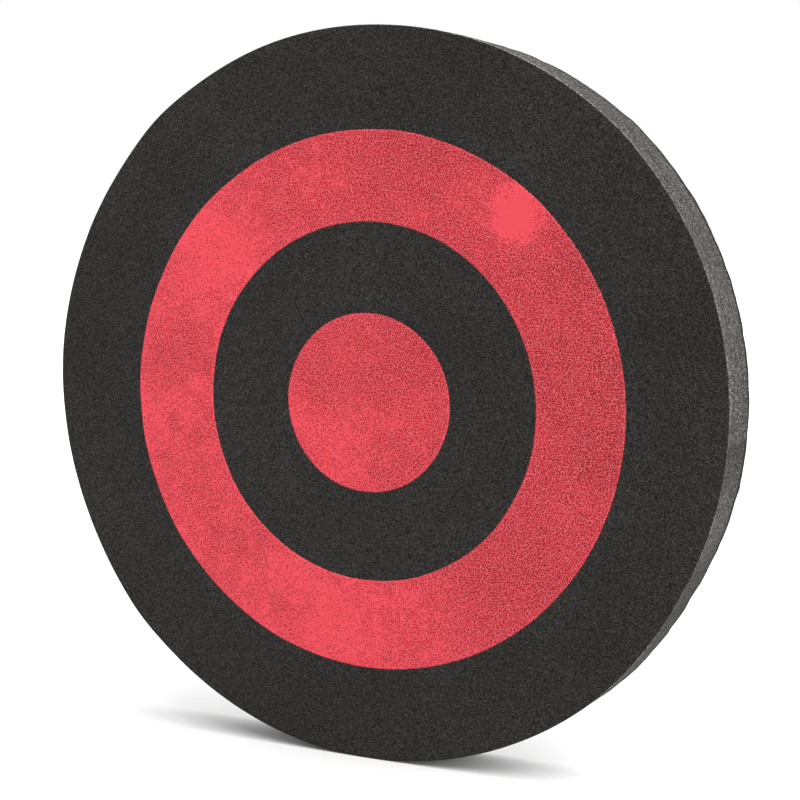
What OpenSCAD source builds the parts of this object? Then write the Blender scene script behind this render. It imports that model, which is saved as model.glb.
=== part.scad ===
// Round throwing target: one slab of closed-cell foam, cut to a disc, with a
// ring and a centre spot of stencilled paint on its front face.
// The disc stands on its rim. The front face looks towards -Y, +Z is up, and
// the origin is on the floor under the middle of the rim.

/* [Foam disc] */
// Diameter of the disc
disc_d = 410; // [340:1:520]
// Thickness of the foam sheet that the disc is cut from
disc_t = 38; // [20:0.5:60]
// Radius of the soft edge where the cut rim meets each face
edge_r = 0.8; // [0.4:0.1:3]
// Width of the flat that the foam presses out of its rim where it stands
stand_w = 16; // [6:1:30]

/* [Painted target] */
// Outside diameter of the ring
ring_d = 300; // [240:1:320]
// Inside diameter of the ring
ring_hole_d = 200; // [120:1:230]
// Diameter of the centre spot
spot_d = 100; // [40:1:110]
// Thickness of the paint
paint_t = 0.15; // [0.1:0.05:0.4]
// How far the stencil sits to the right of the disc's centre
stencil_x = 1; // [-4:0.5:4]
// How far the stencil sits above the disc's centre
stencil_z = -2; // [-4:0.5:4]

/* [Hidden] */
$fn = 240;
disc_r = disc_d / 2;
// height of the disc's centre, with the rim pressed flat on the floor
centre_z = sqrt(pow(disc_r, 2) - pow(stand_w / 2, 2));
edge_steps = 6;

// Turns a shape drawn around Z so that its +Z end looks out of the front face
module face_front(y, x = 0, z = 0) {
    translate([x, y, centre_z + z]) rotate([90, 0, 0]) children();
}

// One quarter round of the edge, from angle a0 on, about [x, y]
function edge_arc(x, y, a0) = [
    for (i = [0:edge_steps])
        let (a = a0 + 90 * i / edge_steps)
            [x + edge_r * cos(a), y + edge_r * sin(a)]
];

// Half of the disc's section: straight from the axis out, round at both edges
module disc_section() {
    polygon(concat(
        [[0, disc_t / 2], [0, -disc_t / 2]],
        edge_arc(disc_r - edge_r, -disc_t / 2 + edge_r, -90),
        edge_arc(disc_r - edge_r, disc_t / 2 - edge_r, 0)
    ));
}

// The slab, with the small flat that it stands on
module foam_disc() {
    color([0.13, 0.13, 0.125])
    difference() {
        face_front(0) rotate_extrude() disc_section();
        translate([-disc_r, -disc_t, -disc_r]) cube([disc_d, 2 * disc_t, disc_r]);
    }
}

// The outer ring of paint, lying on the front face
module ring_paint() {
    color([0.9, 0.28, 0.33])
    face_front(-disc_t / 2, stencil_x, stencil_z)
        linear_extrude(paint_t)
            difference() {
                circle(d = ring_d);
                circle(d = ring_hole_d);
            }
}

// The centre spot of paint, lying on the front face
module spot_paint() {
    color([0.9, 0.28, 0.33])
    face_front(-disc_t / 2, stencil_x, stencil_z) cylinder(h = paint_t, d = spot_d);
}

foam_disc();
ring_paint();
spot_paint();
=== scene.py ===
"""The looks of a round foam throwing target: a slab of black closed-cell foam that stands on its rim,
with a red ring and a red spot sprayed through a stencil on the face towards -Y. Lengths are in metres."""

import math

import bpy
import numpy as np
from mathutils.geometry import delaunay_2d_cdt
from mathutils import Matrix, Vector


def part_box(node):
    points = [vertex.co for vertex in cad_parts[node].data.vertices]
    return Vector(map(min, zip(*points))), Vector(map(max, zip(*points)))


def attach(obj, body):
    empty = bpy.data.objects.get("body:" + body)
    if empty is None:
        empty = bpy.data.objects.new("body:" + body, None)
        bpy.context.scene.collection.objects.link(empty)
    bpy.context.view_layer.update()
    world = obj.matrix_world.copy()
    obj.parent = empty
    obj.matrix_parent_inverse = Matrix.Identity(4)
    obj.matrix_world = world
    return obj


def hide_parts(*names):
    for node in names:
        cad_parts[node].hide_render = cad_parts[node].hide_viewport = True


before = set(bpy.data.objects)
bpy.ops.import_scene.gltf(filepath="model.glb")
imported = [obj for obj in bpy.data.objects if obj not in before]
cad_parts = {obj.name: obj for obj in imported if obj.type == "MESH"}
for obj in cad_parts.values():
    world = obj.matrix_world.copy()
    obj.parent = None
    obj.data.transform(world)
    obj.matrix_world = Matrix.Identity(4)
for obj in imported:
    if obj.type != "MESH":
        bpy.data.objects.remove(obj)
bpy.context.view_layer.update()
MM = 0.001

# ---------------------------------------------------------------- sizes, from the frame

disc_low, disc_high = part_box("foam_disc")
ring_low, ring_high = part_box("ring_paint")
spot_low, spot_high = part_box("spot_paint")

FRONT_Y, BACK_Y = disc_low.y, disc_high.y
FLOOR_Z = disc_low.z
RIM_R = (disc_high.x - disc_low.x) / 2
CENTRE_X = (disc_high.x + disc_low.x) / 2
CENTRE_Z = disc_high.z - RIM_R
STENCIL_X = (ring_high.x + ring_low.x) / 2
STENCIL_Z = (ring_high.z + ring_low.z) / 2
RING_R = (ring_high.x - ring_low.x) / 2
RING_HOLE_R = RING_R * 2 / 3
SPOT_R = (spot_high.x - spot_low.x) / 2
PAINT_T = FRONT_Y - ring_low.y

# ---------------------------------------------------------------- the foam's shape

EDGE_R = 0.8 * MM  # roundness where the cut rim meets a face
EDGE_STEPS = 4
RIM_STEPS = 1000  # steps round the rim
WALL_ROWS = 40  # steps across the rim
FACE_SPACING = 4.0 * MM
BARE_EDGE = 2.2 * MM  # a face's own points start this far in from its outline
PORE_SPACING = 6.4 * MM
PORE_RADII = (0.28 * MM, 0.60 * MM)
PORE_SIDES = 5
NICK_STEPS = 9  # points along a nick
NICK_BANK = 0.5 * MM  # from the bottom of a nick to either bank
BROAD_SWELL = (60 * MM, 0.16 * MM)  # how far the faces stand out of flat: size across, height
FINE_SWELL = (9 * MM, 0.022 * MM)
SWELL_FADE = 6 * MM  # the rim follows the faces' swell this deep into the sheet

# Where the cutter ran wide (+) or cut in (-): angle up from the right, how far it reaches, how much.
# The first column of depths is at the front face, the second is what the back has on top of that.
CUTTER_WANDER = (
    (18, 24, 1.0 * MM, 0.0),
    (32, 12, 0.0, 0.45 * MM),
    (45, 4, 0.4 * MM, 0.0),
    (78, 5, 0.0, -0.6 * MM),
    (84, 14, -1.1 * MM, -1.2 * MM),
    (131, 5, 1.1 * MM, 0.6 * MM),
    (171, 9, 0.7 * MM, 0.0),
    (204, 8, -0.45 * MM, 0.0),
    (222, 4, 0.7 * MM, 0.0),
    (309, 7, 0.4 * MM, 0.8 * MM),
    (332, 7, -0.7 * MM, -0.4 * MM),
)
BACK_WAVER = 0.16 * MM  # uneven back edge, where the blade came out of the sheet
CUT_STREAKS = 0.10 * MM  # long ridges that the blade left on the rim
CELL_RELIEF = 0.045 * MM
OPENED_SHARE = 0.09  # of the rim's points, the ones that lie in an opened cell
OPENED_DEPTHS = (0.08 * MM, 0.26 * MM)
SEAM_ANGLE = -4  # where the cut began and ended
SEAM_STEP = 0.30 * MM
SEAM_FADE = 14  # degrees
TEAR_FADE = 7  # degrees, the dark torn stretch just past the seam
CRUMBLY = (3, 5)  # coarse crumbs of foam before the seam: angle of the middle, reach

# Lighter (+) and darker (-) stretches of the rim: angle of the middle, reach, amount.
RIM_DUST = (
    (62, 8, 0.10),
    (48, 6, -0.10),
    (23, 6, -0.08),
    (-2, 7, -0.06),
    (-15, 4, 0.26),
    (-30, 8, -0.27),
)
# Short scars on the rim: angle of the middle, distance behind the front face, length, depth.
RIM_SCARS = (
    (43.5, 11.5 * MM, 6 * MM, 0.65 * MM),
    (39.5, 14.5 * MM, 16 * MM, 0.50 * MM),
    (36.0, 11.0 * MM, 9 * MM, 0.40 * MM),
    (32.3, 15.0 * MM, 6 * MM, 0.65 * MM),
    (47.0, 9.0 * MM, 6 * MM, 0.40 * MM),
    (9.0, 29.0 * MM, 5 * MM, 0.50 * MM),
)
SCAR_WIDTH = 2.4 * MM
# Nicks in the front face: place from the disc's centre, slope in degrees, length, depth.
FACE_NICKS = (
    (-6.0 * MM, 187.3 * MM, 18, 8.0 * MM, 0.50 * MM),
    (10.5 * MM, 167.4 * MM, -45, 5.5 * MM, 0.40 * MM),
    (92.8 * MM, 167.5 * MM, 30, 4.2 * MM, 0.40 * MM),
)

# ---------------------------------------------------------------- the paint's shape

STENCIL_RAGGED = 0.05 * MM
PIT_SPACING = 1.85 * MM
PIT_SIDES = 6
PIT_RADII = (0.26 * MM, 0.52 * MM)
PIT_DEPTH = 0.11 * MM  # below the coat's surface, so that a little paint is left at the bottom
LIP_WIDTH = 0.7 * MM  # ridge where paint piled up against the stencil
LIP_HEIGHT = 0.05 * MM
PAINT_ROOT = 0.5 * MM  # how deep the paint's underside lies in the foam
FULL_COVER = 0.8  # the most paint that still leaves the foam's cells open
COVER_MIDDLE = 0.42
COVER_FALL_RIGHT = 0.22  # how much thinner the paint is at the ring's right edge than in its middle
COVER_FALL_UP = 0.10
COVER_SWELL = 26 * MM  # size of the clouds of thick and thin paint

# Where the spray is thick (+) or starved (-): place from the stencil's centre, reach, amount.
SPRAY_CLOUDS = (
    (-104 * MM, 89 * MM, 17 * MM, 0.30),
    (-84 * MM, 76 * MM, 13 * MM, 0.30),
    (-108 * MM, 62 * MM, 10 * MM, 0.20),
    (-121 * MM, 32 * MM, 12 * MM, -0.20),
    (-62 * MM, 108 * MM, 12 * MM, 0.12),
    (-35 * MM, 137 * MM, 14 * MM, 0.08),
    (5 * MM, 122 * MM, 14 * MM, 0.05),
    (46 * MM, 112 * MM, 14 * MM, 0.03),
    (78 * MM, 102 * MM, 16 * MM, 0.25),
    (128 * MM, 5 * MM, 22 * MM, -0.15),
    (88 * MM, -90 * MM, 22 * MM, -0.20),
    (60 * MM, -105 * MM, 20 * MM, 0.05),
    (-15 * MM, -128 * MM, 34 * MM, 0.26),
    (-116 * MM, -50 * MM, 24 * MM, -0.08),
    (-95 * MM, -85 * MM, 20 * MM, -0.08),
    (2 * MM, 26 * MM, 22 * MM, -0.05),
    (-12 * MM, -24 * MM, 22 * MM, 0.18),
)
FLOODED = (87 * MM, 105 * MM, 13.5 * MM)  # one wet patch: place from the stencil's centre, reach

# A straight upright row of pinholes in the spot: where along X, and its ends along Z.
DENT_X = -45.5 * MM
DENT_Z = (19 * MM, -12 * MM)
DENT_COUNT = 28
DENT_SIZE = 1.15  # next to the other pits

# ---------------------------------------------------------------- colours (linear) and cell sizes

SKIN_BLACK = (0.0148, 0.0141, 0.0131)
SKIN_CELL = 0.72 * MM
SKIN_SMALL_CELL = 0.47 * MM
CUT_GREY = (0.0411, 0.0382, 0.0355)
CUT_CELL = (0.68 * MM, 1.9 * MM, 0.68 * MM)  # torn cells, drawn out across the sheet
CUT_SMALL_CELL = 0.65 * MM
SAW_STREAKS = (10, 520, 10)  # about how many to the metre along X, Y and Z

THICK_RED = (0.560, 0.0445, 0.0610, 1)
THIN_RED = (0.388, 0.0420, 0.0525, 1)
DEEP_GRAIN = (0.74, 0.18, 0.24, 1)  # the red is multiplied by this where its grain is darkest
PALE_GRAIN_AND_GLINT = (1.20, 2.20, 2.04, 1)  # and by this where it is palest, which is partly the paint's grain and partly painted glints
# painted shade in the pinholes and at the bottom of the pits, on paint of the same red
DOT_SHADE_RED = (0.090, 0.001, 0.002, 1)
PIT_SHADE_RED = (0.085, 0.001, 0.002, 1)
LIP_RED = (0.64, 0.080, 0.105, 1)
PAINT_DOT = 1.25 * MM
PAINT_GRAIN = 0.52 * MM

# ---------------------------------------------------------------- the stage's sizes

FLOOR_REACH = 9.0
FLOOR_WHITE = (0.64, 0.64, 0.638, 1)
EYE = (0.4506, -0.8996, 0.3242)
EYE_ROUND = 26  # degrees round to the right of the face
EYE_DOWN = 6.9  # degrees that the camera looks down
LENS_MM = 81
SENSOR_MM = 36


def turn(degrees):
    return np.radians(degrees)


def swell(places, size, seed, waves=24):
    """Smooth noise, mostly between -1 and 1, with features about size across: waves in random directions."""
    rng = np.random.default_rng(seed)
    heading = rng.normal(size=(waves, places.shape[1]))
    heading /= np.linalg.norm(heading, axis=1, keepdims=True)
    heading *= (2 * math.pi / (size * rng.uniform(1.2, 2.6, waves)))[:, None]
    phase = rng.uniform(0, 2 * math.pi, waves)
    return np.sin(places @ heading.T + phase).sum(1) / math.sqrt(waves)


def angle_gap(a, b):
    """The angle from b to a in radians, between -pi and pi."""
    return (a - b + math.pi) % (2 * math.pi) - math.pi


def bump_at(distance, reach):
    return np.exp(-0.5 * (distance / reach) ** 2)


def outline_wander(angle, depth_share):
    """How far the cut rim is outside a true circle. depth_share is 0 at the front face and 1 at the back."""
    total = np.zeros_like(angle)
    for middle, reach, at_front, more_at_back in CUTTER_WANDER:
        near = bump_at(angle_gap(angle, turn(middle)), turn(reach))
        total += near * (at_front + more_at_back * depth_share**1.5)
    round_rim = np.column_stack([np.cos(angle), np.sin(angle)]) * RIM_R
    waver = swell(round_rim, 9 * MM, seed=5) + 0.4 * swell(round_rim, 3.5 * MM, seed=6)
    return total + BACK_WAVER * waver * depth_share**4


def face_swell(x, z, side):
    """How far a face stands out of flat. x and z are from the disc's centre, and side is 1 front, 2 back."""
    places = np.column_stack([x, z])
    broad = swell(places, BROAD_SWELL[0], seed=10 + side) * BROAD_SWELL[1]
    fine = swell(places, FINE_SWELL[0], seed=20 + side) * FINE_SWELL[1]
    return broad + fine


def grid_points(reach, spacing, rng, spread):
    """A triangular grid over a square of half-side reach, each point moved at random."""
    rows = int(reach / (spacing * math.sqrt(3) / 2)) + 1
    columns = int(reach / spacing) + 1
    i, j = np.meshgrid(np.arange(-columns, columns + 1), np.arange(-rows, rows + 1))
    x = (i + 0.5 * (j % 2)) * spacing
    z = j * spacing * math.sqrt(3) / 2
    points = np.column_stack([x.ravel(), z.ravel()])
    return points + rng.uniform(-spread, spread, points.shape) * spacing


def circle_points(radius, count, start=0.0):
    angle = (np.arange(count) + start) * 2 * math.pi / count
    return np.column_stack([np.cos(angle), np.sin(angle)]) * radius


def triangles_over(points):
    """Delaunay triangles over 2D points, anticlockwise."""
    scale = 1 / MM  # the library's tolerance suits millimetres
    found = delaunay_2d_cdt([(p * scale).tolist() for p in points], [], [], 0, 1e-5, True)
    new_to_old = [origins[0] for origins in found[3]]
    return np.array([[new_to_old[v] for v in face] for face in found[2]])


def pits_at(centres, radii, rng, sides):
    """The rim points of a round pit at each centre, a little uneven."""
    count = len(centres)
    angle = (np.arange(sides) + rng.uniform(0, 1, (count, 1))) * 2 * math.pi / sides
    reach = radii[:, None] * rng.uniform(0.8, 1.2, (count, sides))
    rim = centres[:, None] + np.stack([np.cos(angle), np.sin(angle)], -1) * reach[..., None]
    return rim.reshape(-1, 2)


def clear_of(points, others, gap):
    """Which points are further than gap from every one of a few others."""
    keep = np.ones(len(points), bool)
    for other in others:
        keep &= np.hypot(*(points - other).T) > gap
    return keep


def mesh_piece(name, points, faces, materials, face_material=None):
    """A smooth-shaded piece from points and faces, riding on the part's one body."""
    mesh = bpy.data.meshes.new(name)
    mesh.from_pydata(points.tolist(), [], [list(map(int, f)) for f in faces])
    for material in materials:
        mesh.materials.append(material)
    mesh.polygons.foreach_set("use_smooth", np.ones(len(mesh.polygons), bool))
    if face_material is not None:
        mesh.polygons.foreach_set("material_index", np.asarray(face_material, np.int32))
    mesh.update()
    piece = bpy.data.objects.new(name, mesh)
    bpy.context.scene.collection.objects.link(piece)
    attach(piece, "root")
    return piece


def point_value(piece, name, values):
    """Stores one number per point, which the materials read by name."""
    attribute = piece.data.attributes.new(name, "FLOAT", "POINT")
    attribute.data.foreach_set("value", np.asarray(values, np.float32))


# ---------------------------------------------------------------- materials


class Tree:
    """A short way to write a material: each call adds a node, and takes other nodes' outputs as inputs."""

    def __init__(self, name):
        self.material = bpy.data.materials.new(name)
        self.material.use_nodes = True
        self.nodes = self.material.node_tree.nodes
        self.links = self.material.node_tree.links
        self.shader = self.nodes["Principled BSDF"]
        self.place = self.add("TexCoord").outputs["Object"]

    def feed(self, socket, value):
        if isinstance(value, bpy.types.NodeSocket):
            self.links.new(value, socket)
        else:
            socket.default_value = value

    def add(self, kind, inputs=None, **settings):
        node = self.nodes.new("ShaderNode" + kind)
        for name, value in settings.items():
            setattr(node, name, value)
        for name, value in (inputs or {}).items():
            self.feed(node.inputs[name], value)
        return node

    def stretched(self, scale):
        """The place on the object, scaled by its own amount along X, Y and Z."""
        node = self.add("Mapping", {"Vector": self.place})
        node.inputs["Scale"].default_value = scale
        return node.outputs["Vector"]

    def noise(self, size, detail=2.0, roughness=0.5, place=None):
        inputs = {"Vector": place or self.place, "Scale": 1 / size, "Detail": detail, "Roughness": roughness}
        return self.add("TexNoise", inputs).outputs["Fac"]

    def cells(self, size, place=None):
        """(distance from each cell's middle, a random value for each cell) for cells about size across."""
        node = self.add("TexVoronoi", {"Vector": place or self.place, "Scale": 1 / size})
        tone = self.add("SeparateColor", {"Color": node.outputs["Color"]}).outputs["Red"]
        return node.outputs["Distance"], tone

    def face_dots(self, size, randomness):
        """The same two values for flat cells on a face, which are more even than a cut through solid ones."""
        turned = self.add("Mapping", {"Vector": self.place})
        turned.inputs["Rotation"].default_value = (math.pi / 2, 0, 0)
        inputs = {"Vector": turned.outputs["Vector"], "Scale": 1 / size, "Randomness": randomness}
        node = self.add("TexVoronoi", inputs, voronoi_dimensions="2D")
        tone = self.add("SeparateColor", {"Color": node.outputs["Color"]}).outputs["Red"]
        return node.outputs["Distance"], tone

    def spread(self, value, low, high, to_low, to_high):
        node = self.add("MapRange", {"Value": value})
        for name, number in zip(("From Min", "From Max", "To Min", "To Max"), (low, high, to_low, to_high)):
            node.inputs[name].default_value = number
        return node.outputs["Result"]

    def maths(self, operation, a, b):
        node = self.add("Math", operation=operation)
        self.feed(node.inputs[0], a)
        self.feed(node.inputs[1], b)
        return node.outputs[0]

    def times(self, *values):
        total = values[0]
        for value in values[1:]:
            total = self.maths("MULTIPLY", total, value)
        return total

    def plus(self, *values):
        total = values[0]
        for value in values[1:]:
            total = self.maths("ADD", total, value)
        return total

    def mix(self, share, a, b, blend="MIX"):
        node = self.add("Mix", data_type="RGBA", blend_type=blend)
        self.feed(node.inputs[0], share)
        self.feed(node.inputs[6], a)
        self.feed(node.inputs[7], b)
        return node.outputs[2]

    def shade(self, colour, amount):
        """A colour made lighter or darker by a number around 1."""
        node = self.add("VectorMath", operation="SCALE")
        self.feed(node.inputs[0], colour)
        self.feed(node.inputs["Scale"], amount)
        return node.outputs[0]

    def bump(self, height, depth, normal=None):
        inputs = {"Height": height, "Distance": depth, "Strength": 1.0}
        if normal is not None:
            inputs["Normal"] = normal
        return self.add("Bump", inputs).outputs["Normal"]

    def value_of(self, name):
        return self.add("Attribute", attribute_name=name).outputs["Fac"]

    def finish(self, colour, roughness, normal, specular):
        """Feeds the shader. The specular level is the same all over, so it is set on the socket itself."""
        self.feed(self.shader.inputs["Base Color"], colour)
        self.feed(self.shader.inputs["Roughness"], roughness)
        self.feed(self.shader.inputs["Normal"], normal)
        self.shader.inputs["Specular IOR Level"].default_value = specular
        return self.material


def foam_skin():
    """The sliced face of the sheet: fine cells, each cut open into a cup. Each cup is darkened by painted
    shade and its rim lightened by a painted highlight.
    """
    tree = Tree("foam_skin")
    distance, tone = tree.cells(SKIN_CELL)
    small_distance, small_tone = tree.cells(SKIN_SMALL_CELL)
    clouds = tree.noise(55 * MM, detail=3)
    lights = tree.noise(1.1 * MM, detail=1)
    pore = tree.value_of("pore")

    # rims: painted shade in each cell's cup and a painted highlight on its rim
    rims = tree.spread(distance, 0.15, 0.65, 0.52, 1.50)
    cups = tree.spread(tone, 0, 1, 0.70, 1.30)
    grain = tree.spread(small_tone, 0, 1, 0.10, 1.90)
    cloudy = tree.spread(clouds, 0.3, 0.7, 0.88, 1.12)
    flecks = tree.spread(lights, 0.70, 0.80, 1.0, 2.2)
    # painted shade in the pores and nicks, from the per-point pore value
    pore_shade = tree.spread(pore, 0.0, 1.0, 1.0, 0.35)
    light = tree.times(rims, cups, grain, cloudy, flecks, pore_shade)
    colour = tree.shade(SKIN_BLACK, light)

    normal = tree.bump(distance, 0.22 * MM)
    normal = tree.bump(small_distance, 0.12 * MM, normal)
    roughness = tree.spread(tone, 0, 1, 0.84, 0.98)
    return tree.finish(colour, roughness, normal, specular=0.12)


def foam_cut():
    """The sawn rim: torn cells with dust in them, greyer than the face, and streaks along the cut. Each
    cell's cup is darkened by painted shade and its rim lightened by a painted highlight.
    """
    tree = Tree("foam_cut")
    tall = tree.stretched([1 / size for size in CUT_CELL])
    distance, tone = tree.cells(1.0, place=tall)
    small_distance, small_tone = tree.cells(CUT_SMALL_CELL)
    streaks = tree.noise(1.0, detail=4, roughness=0.65, place=tree.stretched(SAW_STREAKS))
    patches = tree.noise(24 * MM, detail=3)
    scar = tree.value_of("scar")
    torn = tree.value_of("torn")
    crumbs = tree.value_of("crumbs")
    dust = tree.value_of("dust")
    flecks = tree.noise(1.5 * MM, detail=1)
    depth = tree.add("SeparateXYZ", {"Vector": tree.place}).outputs["Y"]
    waver = tree.spread(tree.noise(5 * MM), 0.3, 0.7, -0.5 * MM, 0.5 * MM)
    ragged_depth = tree.plus(depth, waver)

    # rims: painted shade in each torn cell's cup and a painted highlight on its rim
    rims = tree.spread(distance, 0.1, 0.7, 0.45, 1.50)
    cups = tree.spread(tone, 0, 1, 0.45, 1.55)
    grain = tree.spread(small_tone, 0, 1, 0.15, 1.85)
    streaky = tree.spread(streaks, 0.3, 0.7, 0.62, 1.38)
    patchy = tree.spread(patches, 0.3, 0.7, 0.91, 1.09)
    dark_scar = tree.spread(scar, 0.1, 0.6, 1.0, 0.22)
    dark_tear = tree.spread(torn, 0, 1, 1.0, 0.58)
    dusty = tree.plus(dust, 1.0)
    off_lip = tree.spread(depth, FRONT_Y + 1.5 * MM, FRONT_Y + 5 * MM, 0.0, 1.0)
    crumbly = tree.plus(tree.times(crumbs, off_lip, tree.spread(flecks, 0.45, 0.66, -0.40, 0.95)), 1.0)
    # painted highlight in patches along the rim's front edge
    lip = tree.spread(ragged_depth, FRONT_Y + 0.8 * MM, FRONT_Y + 2.8 * MM, 1.0, 0.0)
    front_edge_highlight = tree.plus(tree.times(lip, tree.spread(patches, 0.35, 0.62, 0.0, 1.0)), 1.0)
    across = tree.spread(depth, FRONT_Y, BACK_Y, 1.10, 0.90)
    # darker over the rim's last 3.4 to 5 mm before the back face, with a wavering edge
    dark_back_band = tree.spread(ragged_depth, BACK_Y - 5.0 * MM, BACK_Y - 3.4 * MM, 1.0, 0.16)
    cellular = tree.times(rims, cups, grain, streaky, patchy, crumbly)
    light = tree.times(cellular, dusty, dark_scar, dark_tear, front_edge_highlight, across, dark_back_band)
    colour = tree.shade(CUT_GREY, light)

    normal = tree.bump(distance, 0.35 * MM)
    normal = tree.bump(small_distance, 0.18 * MM, normal)
    normal = tree.bump(streaks, 0.35 * MM, normal)
    roughness = tree.spread(tone, 0, 1, 0.86, 1.0)
    return tree.finish(colour, roughness, normal, specular=0.15)


def paint():
    """Sprayed red paint. Thin paint is darker and full of pinholes, and the foam's cells show through it. The
    pinholes and the pits' bottoms are darkened with painted shade.
    """
    tree = Tree("red_paint")
    distance, tone = tree.face_dots(PAINT_DOT, randomness=0.85)
    small_distance, small_tone = tree.cells(PAINT_GRAIN)
    cover = tree.value_of("cover")
    pit = tree.value_of("pit")
    lip = tree.value_of("lip")

    worn = tree.spread(cover, 0.0, FULL_COVER, 1.0, 0.0)
    not_flooded = tree.spread(cover, FULL_COVER, 1.0, 1.0, 0.0)
    from_dot = tree.plus(distance, tree.times(worn, -0.05))
    has_dot = tree.spread(tree.plus(tone, tree.times(worn, 1.5)), 0.74, 0.78, 0.0, 1.0)
    darkness = tree.times(has_dot, not_flooded, tree.spread(small_tone, 0.0, 1.0, 0.55, 1.0))
    # painted shade in the pinholes
    shaded_holes = tree.times(tree.spread(from_dot, 0.26, 0.30, 1.0, 0.0), darkness)
    # lighter round each pinhole: partly paint piled up at its edge, partly a painted highlight
    piled_up_and_highlit = tree.plus(tree.times(tree.spread(from_dot, 0.30, 0.48, 0.16, 0.0), has_dot, not_flooded), 1.0)
    grain_depth = tree.times(tree.spread(worn, 0, 1, 0.42, 1.0), not_flooded)
    grain = tree.plus(tree.times(tree.plus(small_tone, -0.5), grain_depth), 0.5)

    coat = tree.mix(worn, THICK_RED, THIN_RED)
    deep = tree.mix(1.0, coat, DEEP_GRAIN, blend="MULTIPLY")
    # the pale end of the grain holds painted glints as well as pale grain
    pale_and_glinting = tree.mix(1.0, coat, PALE_GRAIN_AND_GLINT, blend="MULTIPLY")
    grainy = tree.shade(tree.mix(grain, deep, pale_and_glinting), piled_up_and_highlit)
    holed = tree.mix(shaded_holes, grainy, DOT_SHADE_RED)
    lipped = tree.mix(tree.times(lip, 0.12), holed, LIP_RED)
    # painted shade at the bottom of the mesh pits
    colour = tree.mix(tree.spread(pit, 0.62, 0.84, 0.0, 1.0), lipped, PIT_SHADE_RED)

    normal = tree.bump(tree.spread(shaded_holes, 0.0, 1.0, 1.0, 0.0), 0.12 * MM)
    normal = tree.bump(tree.times(small_distance, worn), 0.06 * MM, normal)
    roughness = tree.spread(cover, 0.2, 1.0, 0.74, 0.50)
    return tree.finish(colour, roughness, normal, specular=0.04)


# ---------------------------------------------------------------- the foam disc


def rim_section():
    """Rows across the rim from the front face to the back: (distance behind the front face, inset)."""
    thickness = BACK_Y - FRONT_Y
    corner = [90 * (1 - i / EDGE_STEPS) for i in range(EDGE_STEPS + 1)]
    front = [(EDGE_R * (1 - math.sin(turn(a))), EDGE_R * (1 - math.cos(turn(a)))) for a in corner]
    span = thickness - 2 * EDGE_R
    wall = [(EDGE_R + span * i / WALL_ROWS, 0.0) for i in range(1, WALL_ROWS)]
    back = [(thickness - depth, inset) for depth, inset in reversed(front)]
    return np.array(front + wall + back)


def rim_points(rng):
    """The rim's points, row by row, a value at each point for each kind of mark, and the number of rows."""
    section = rim_section()
    thickness = BACK_Y - FRONT_Y
    rows = len(section)
    step = 2 * math.pi / RIM_STEPS
    on_wall = np.zeros(rows, bool)
    on_wall[EDGE_STEPS + 1 : rows - EDGE_STEPS - 1] = True
    loose = np.repeat(on_wall, RIM_STEPS)

    angle = np.tile(np.arange(RIM_STEPS) * step, rows)
    depth = np.repeat(section[:, 0], RIM_STEPS)
    inset = np.repeat(section[:, 1], RIM_STEPS)
    angle += loose * rng.uniform(-0.3, 0.3, len(angle)) * step
    depth += loose * rng.uniform(-0.28, 0.28, len(depth)) * thickness / WALL_ROWS

    arc = np.column_stack([np.cos(angle) * RIM_R, depth, np.sin(angle) * RIM_R])
    streaks = swell(arc * (0.12, 1.0, 0.12), 5 * MM, seed=31) * CUT_STREAKS
    torn = rng.normal(0, CELL_RELIEF, len(angle))
    opened = rng.random(len(angle)) < OPENED_SHARE
    torn -= opened * rng.uniform(*OPENED_DEPTHS, len(angle))
    past_seam = angle_gap(turn(SEAM_ANGLE), angle)
    seam = SEAM_STEP * np.exp(-past_seam / turn(SEAM_FADE)) * (past_seam > 0)
    tear = np.exp(-past_seam / turn(TEAR_FADE)) * (past_seam > 0)

    dust = sum(amount * bump_at(angle_gap(angle, turn(at)), turn(reach)) for at, reach, amount in RIM_DUST)
    crumbs = bump_at(angle_gap(angle, turn(CRUMBLY[0])), turn(CRUMBLY[1])) * (past_seam < 0)

    scar = np.zeros_like(angle)
    scar_depth = np.zeros_like(angle)
    for middle, behind, length, deep in RIM_SCARS:
        along = angle_gap(angle, turn(middle)) * RIM_R / (length / 2)
        across = (depth - behind) / (SCAR_WIDTH / 2)
        groove = np.clip(1 - along**2, 0, 1) * np.clip(1 - across**2, 0, 1)
        scar = np.maximum(scar, groove)
        scar_depth += groove * deep

    radius = RIM_R - inset + outline_wander(angle, depth / thickness)
    radius += loose * (streaks + torn - seam - scar_depth)
    x = np.cos(angle) * radius
    z = np.sin(angle) * radius
    y = FRONT_Y + depth
    y -= face_swell(x, z, 1) * np.clip(1 - depth / SWELL_FADE, 0, 1)
    y += face_swell(x, z, 2) * np.clip(1 - (thickness - depth) / SWELL_FADE, 0, 1)
    points = np.column_stack([x + CENTRE_X, y, np.maximum(z + CENTRE_Z, FLOOR_Z)])
    return points, {"scar": scar, "torn": tear, "dust": dust, "crumbs": crumbs}, rows


def nick_points():
    """The places and depths of the nicks' points, along the bottom of each and along both banks."""
    places, depths = [], []
    for x, z, slope, length, deep in FACE_NICKS:
        along = np.array([math.cos(turn(slope)), math.sin(turn(slope))])
        across = np.array([-along[1], along[0]])
        for t in np.linspace(-1, 1, NICK_STEPS):
            bend = across * (1 - t * t) * length * 0.08
            middle = np.array([x, z]) + along * t * length / 2 - bend
            places.append(middle)
            depths.append(deep * (1 - abs(t) ** 3))
            for bank in (-1, 1):
                places.append(middle + across * bank * NICK_BANK)
                depths.append(0.0)
    return np.array(places), np.array(depths)


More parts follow.
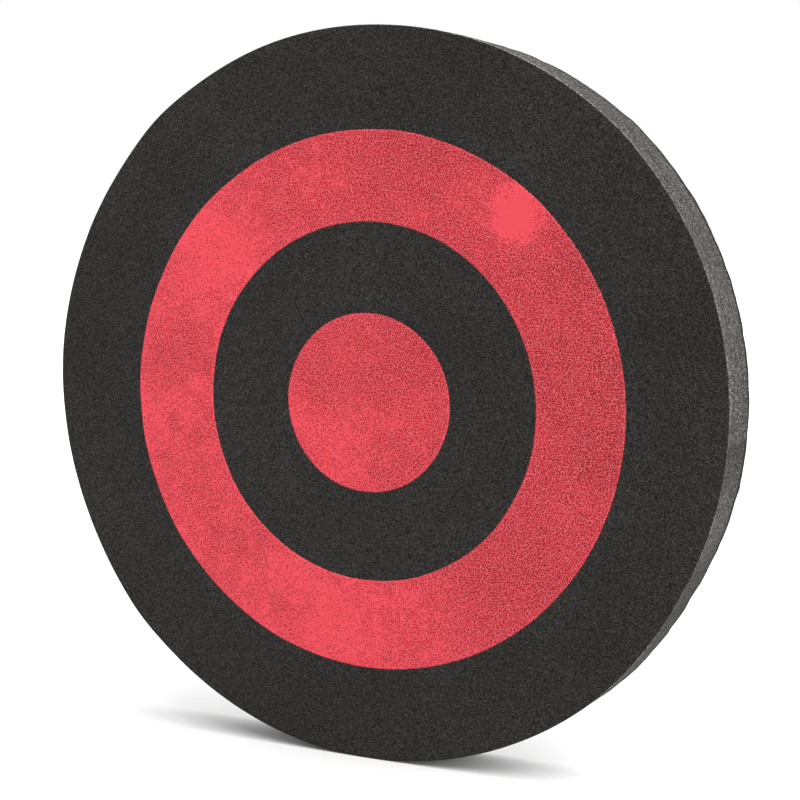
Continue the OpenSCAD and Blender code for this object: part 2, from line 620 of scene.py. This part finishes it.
def face_points(side, rng, outline):
    """A face's points from the disc's centre, its outline first, with how deep each one is and how dark each
    one is painted: painted shade in the pores' middles and in the nicks, deeper nicks darker.
    """
    reach = RIM_R - EDGE_R - BARE_EDGE
    grid = grid_points(RIM_R, FACE_SPACING, rng, 0.25)
    pores = grid_points(RIM_R, PORE_SPACING, rng, 0.45)
    nicks, nick_depths = nick_points() if side == 1 else (np.zeros((0, 2)), np.zeros(0))
    for_grid = clear_of(grid, nicks, 1.5 * MM) & (np.hypot(*grid.T) < reach)
    for_pores = clear_of(pores, nicks, 2.2 * MM) & (np.hypot(*pores.T) < reach - 1 * MM)
    grid, pores = grid[for_grid], pores[for_pores]
    if side == 2:
        pores = pores[::2]
    radii = rng.uniform(*PORE_RADII, len(pores))
    rims = pits_at(pores, radii, rng, PORE_SIDES)
    middles = pores + rng.uniform(-0.1, 0.1, pores.shape) * MM
    places = np.vstack([outline, grid, rims, middles, nicks])
    flat = np.zeros(len(outline) + len(grid) + len(rims))
    depths = np.concatenate([flat, radii * rng.uniform(0.6, 0.9, len(radii)), nick_depths])
    # painted shade: the pores' middles are darkened fully, and the nicks more where they are deeper
    dark = np.concatenate([flat, np.ones(len(middles)), np.clip(nick_depths / (0.3 * MM), 0, 1)])
    return places, depths, dark


def foam_disc():
    rng = np.random.default_rng(7)
    points, marks, rows = rim_points(rng)
    index = np.arange(rows * RIM_STEPS).reshape(rows, RIM_STEPS)
    ahead = np.roll(index, -1, axis=1)
    quads = np.stack([index[:-1], index[1:], ahead[1:], ahead[:-1]], -1).reshape(-1, 4)
    face_rows = EDGE_STEPS // 2
    in_row = np.repeat(np.arange(rows - 1), RIM_STEPS)
    is_cut = (in_row >= face_rows) & (in_row < rows - 1 - face_rows)
    faces, face_material = list(quads), list(is_cut.astype(int))
    all_points, all_pore_shade = [points], [np.zeros(len(points))]
    count = len(points)

    outline = circle_points(RIM_R - EDGE_R, RIM_STEPS)
    for side, edge_row in ((1, index[0]), (2, index[-1])):
        places, depths, dark = face_points(side, rng, outline)
        triangles = triangles_over(places)
        angle = np.arctan2(places[:, 1], places[:, 0])
        share = np.hypot(*places.T) / RIM_R
        wander = outline_wander(angle, np.full(len(angle), side - 1.0)) * share**6
        x = places[:, 0] + np.cos(angle) * wander
        z = places[:, 1] + np.sin(angle) * wander
        out = face_swell(x, z, side) - depths
        y = FRONT_Y - out if side == 1 else BACK_Y + out
        inner = np.column_stack([x + CENTRE_X, y, z + CENTRE_Z])[RIM_STEPS:]
        numbers = np.concatenate([edge_row, count + np.arange(len(inner))])
        triangles = numbers[triangles if side == 1 else triangles[:, ::-1]]
        faces += list(triangles)
        face_material += [0] * len(triangles)
        all_points.append(inner)
        all_pore_shade.append(dark[RIM_STEPS:])
        count += len(inner)

    piece = mesh_piece("foam_slab", np.vstack(all_points), faces, [foam_skin(), foam_cut()], face_material)
    for mark, values in marks.items():
        point_value(piece, mark, np.concatenate([values, np.zeros(count - len(points))]))
    point_value(piece, "pore", np.concatenate(all_pore_shade))
    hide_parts("foam_disc")


# ---------------------------------------------------------------- the paint


def spray_cover(places):
    """How thick the paint is, from 0, starved, to 1, where it ran together and closed the foam's cells."""
    x, z = places[:, 0], places[:, 1]
    cover = COVER_MIDDLE - COVER_FALL_RIGHT * x / RING_R - COVER_FALL_UP * z / RING_R
    cover += 0.07 * swell(places, COVER_SWELL, seed=41) + 0.06 * swell(places, 9 * MM, seed=42)
    for cloud_x, cloud_z, reach, amount in SPRAY_CLOUDS:
        cover += amount * bump_at(np.hypot(x - cloud_x, z - cloud_z), reach)
    flood_x, flood_z, flood_reach = FLOODED
    flooded = 1.2 * bump_at(np.hypot(x - flood_x, z - flood_z), flood_reach)
    flooded += 0.09 * swell(places, 6 * MM, seed=43) * (flooded > 0.2)
    return np.clip(np.maximum(np.clip(cover, 0, FULL_COVER), flooded), 0, 1)


def paint_film(name, node, outer_r, hole_r, edge_steps, seed, material):
    """A thin skin of paint between two circles, or in one. It has a pit wherever a foam cell stayed open."""
    rng = np.random.default_rng(seed)
    edges = [outer_r, hole_r] if hole_r else [outer_r]
    inward = [-1, 1]
    loops = [circle_points(radius, edge_steps) for radius in edges]
    lips = [
        circle_points(radius + sign * LIP_WIDTH, edge_steps, start=0.5)
        for radius, sign in zip(edges, inward)
    ]

    grid = grid_points(outer_r, PIT_SPACING, rng, 0.32)
    distance = np.hypot(*grid.T)
    margin = LIP_WIDTH + 0.75 * MM
    grid = grid[(distance < outer_r - margin) & (distance > (hole_r + margin if hole_r else -1))]
    dents = np.zeros((0, 2))
    if not hole_r:
        dents = np.column_stack([np.full(DENT_COUNT, DENT_X), np.linspace(*DENT_Z, DENT_COUNT)])
        dents += rng.uniform(-0.15, 0.15, dents.shape) * MM
        grid = grid[clear_of(grid, dents, 1.1 * MM)]
    cover = spray_cover(grid)
    worn = np.clip(1 - cover / FULL_COVER, 0, 1)
    not_flooded = np.clip((1 - cover) / (1 - FULL_COVER), 0, 1)
    open_share = np.clip(0.28 + 0.9 * worn, 0, 0.95) * not_flooded
    pitted = rng.random(len(grid)) < open_share
    centres, plain = np.vstack([grid[pitted], dents]), grid[~pitted]
    radii = rng.uniform(*PIT_RADII, len(centres))
    radii[len(centres) - len(dents) :] *= DENT_SIZE
    rims = pits_at(centres, radii, rng, PIT_SIDES)

    sheets = [*loops, *lips, plain, rims, centres]
    places = np.vstack(sheets)
    starts = np.cumsum([0] + [len(s) for s in sheets])
    is_edge = np.zeros(len(places), bool)
    is_edge[: starts[len(loops)]] = True
    is_lip = np.zeros(len(places), bool)
    is_lip[starts[len(loops)] : starts[len(loops) + len(lips)]] = True
    is_pit = np.zeros(len(places), bool)
    is_pit[starts[-2] :] = True

    triangles = triangles_over(places)
    if hole_r:  # Delaunay fills the hole as well, with triangles that touch nothing but its edge
        in_hole = (triangles >= starts[1]) & (triangles < starts[2])
        triangles = triangles[~in_hole.all(1)]

    radius = np.hypot(*places.T)
    ragged = swell(places, 2.5 * MM, seed=seed + 1) * STENCIL_RAGGED
    ragged += swell(places, 30 * MM, seed=seed + 2) * STENCIL_RAGGED * 2.5
    stretch = 1 + (is_edge | is_lip) * ragged / radius.clip(MM)
    x = places[:, 0] * stretch + STENCIL_X
    z = places[:, 1] * stretch + STENCIL_Z
    height = np.full(len(places), PAINT_T * 0.85)
    height += is_lip * LIP_HEIGHT
    height -= is_edge * 0.05 * MM
    height[is_pit] -= PIT_DEPTH * rng.uniform(0.6, 1.0, is_pit.sum())
    swollen = face_swell(x - CENTRE_X, z - CENTRE_Z, 1)
    top = np.column_stack([x, FRONT_Y - swollen - height, z])

    # the underside and the edges down to it
    low = top[: starts[len(loops)]].copy()
    low[:, 1] = FRONT_Y - swollen[: len(low)] + PAINT_ROOT
    under = len(top) + np.arange(edge_steps)
    faces = list(triangles)
    upper = np.arange(edge_steps)
    for loop in range(len(loops)):
        a, b = upper + loop * edge_steps, under + loop * edge_steps
        ring = np.stack([a, b, np.roll(b, -1), np.roll(a, -1)], -1)
        faces += list(ring if loop == 0 else ring[:, ::-1])
    if hole_r:
        a, b = under, under + edge_steps
        faces += list(np.stack([a, b, np.roll(b, -1), np.roll(a, -1)], -1))
        points = np.vstack([top, low])
    else:
        middle = len(top) + edge_steps
        faces += [[middle, b, a] for a, b in zip(under, np.roll(under, -1))]
        points = np.vstack([top, low, low.mean(0)])

    piece = mesh_piece(name, points, faces, [material])
    hidden = len(points) - len(top)
    point_value(piece, "cover", np.concatenate([spray_cover(places), np.ones(hidden)]))
    point_value(piece, "pit", np.concatenate([is_pit, np.zeros(hidden)]))
    point_value(piece, "lip", np.concatenate([is_lip, np.zeros(hidden)]))
    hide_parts(node)


# ---------------------------------------------------------------- the stage


def pale_floor():
    corners = [(x * FLOOR_REACH, y * FLOOR_REACH, FLOOR_Z) for x, y in ((-1, -1), (1, -1), (1, 1), (-1, 1))]
    mesh = bpy.data.meshes.new("floor")
    mesh.from_pydata(corners, [], [(0, 1, 2, 3)])
    floor = bpy.data.objects.new("floor", mesh)
    bpy.context.scene.collection.objects.link(floor)
    material = bpy.data.materials.new("floor_white")
    material.use_nodes = True
    shader = material.node_tree.nodes["Principled BSDF"]
    shader.inputs["Base Color"].default_value = FLOOR_WHITE
    shader.inputs["Roughness"].default_value = 0.9
    mesh.materials.append(material)


def soft_sun(name, azimuth, elevation, softness, strength):
    """A wide sun, like a bank of softboxes far off. Azimuth 0 is the +X side and 90 is behind the target."""
    data = bpy.data.lights.new(name, "SUN")
    data.angle = math.radians(softness)
    data.energy = strength
    lamp = bpy.data.objects.new(name, data)
    bpy.context.scene.collection.objects.link(lamp)
    lamp.rotation_euler = (0, math.radians(90 - elevation), math.radians(azimuth))


def white_world(strength):
    world = bpy.data.worlds.new("white")
    world.use_nodes = True
    background = world.node_tree.nodes["Background"]
    background.inputs["Color"].default_value = (1, 1, 1, 1)
    background.inputs["Strength"].default_value = strength
    bpy.context.scene.world = world


def camera():
    """Looks at the face from its right and a little above."""
    data = bpy.data.cameras.new("camera")
    data.lens = LENS_MM
    data.sensor_width = SENSOR_MM
    eye = bpy.data.objects.new("camera", data)
    bpy.context.scene.collection.objects.link(eye)
    eye.location = EYE
    eye.rotation_euler = (math.radians(90 - EYE_DOWN), 0, math.radians(EYE_ROUND))
    bpy.context.scene.camera = eye


camera()
foam_disc()
red = paint()
paint_film("paint_ring", "ring_paint", RING_R, RING_HOLE_R, edge_steps=900, seed=61, material=red)
paint_film("paint_spot", "spot_paint", SPOT_R, hole_r=0, edge_steps=320, seed=71, material=red)

pale_floor()
white_world(1.0)
soft_sun("overhead", azimuth=-45, elevation=68, softness=60, strength=2.6)
soft_sun("from_right", azimuth=5, elevation=30, softness=85, strength=4)
bpy.context.scene.view_settings.view_transform = "Standard"
